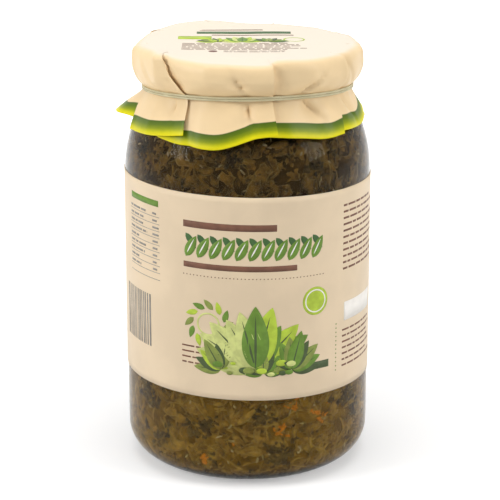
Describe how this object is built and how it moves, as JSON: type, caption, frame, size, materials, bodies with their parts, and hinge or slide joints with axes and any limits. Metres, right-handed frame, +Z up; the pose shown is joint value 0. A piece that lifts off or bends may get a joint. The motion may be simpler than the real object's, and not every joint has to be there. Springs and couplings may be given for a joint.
{
  "type": "jar of sauerkraut",
  "caption": "Shut glass jar filled with sauerkraut and kale, with a wrap-round paper label and a paper cover gathered over its closed cap by an elastic band.",
  "frame": {"origin": "centre of the jar's base, on the surface that it stands on", "axes": "+Z up along the jar's axis; the front of the label faces -Y"},
  "size_m": [0.0984, 0.0967, 0.166],
  "materials": {
    "glass": "gloss",
    "sauerkraut": "satin",
    "label_paper": "matte",
    "cover_paper": "matte",
    "elastic": "matte"
  },
  "bodies": {
    "root": {"glass_jar": "glass", "contents": "sauerkraut", "label": "label_paper", "paper_cover": "cover_paper", "elastic_band": "elastic"}
  },
  "joints": []
}
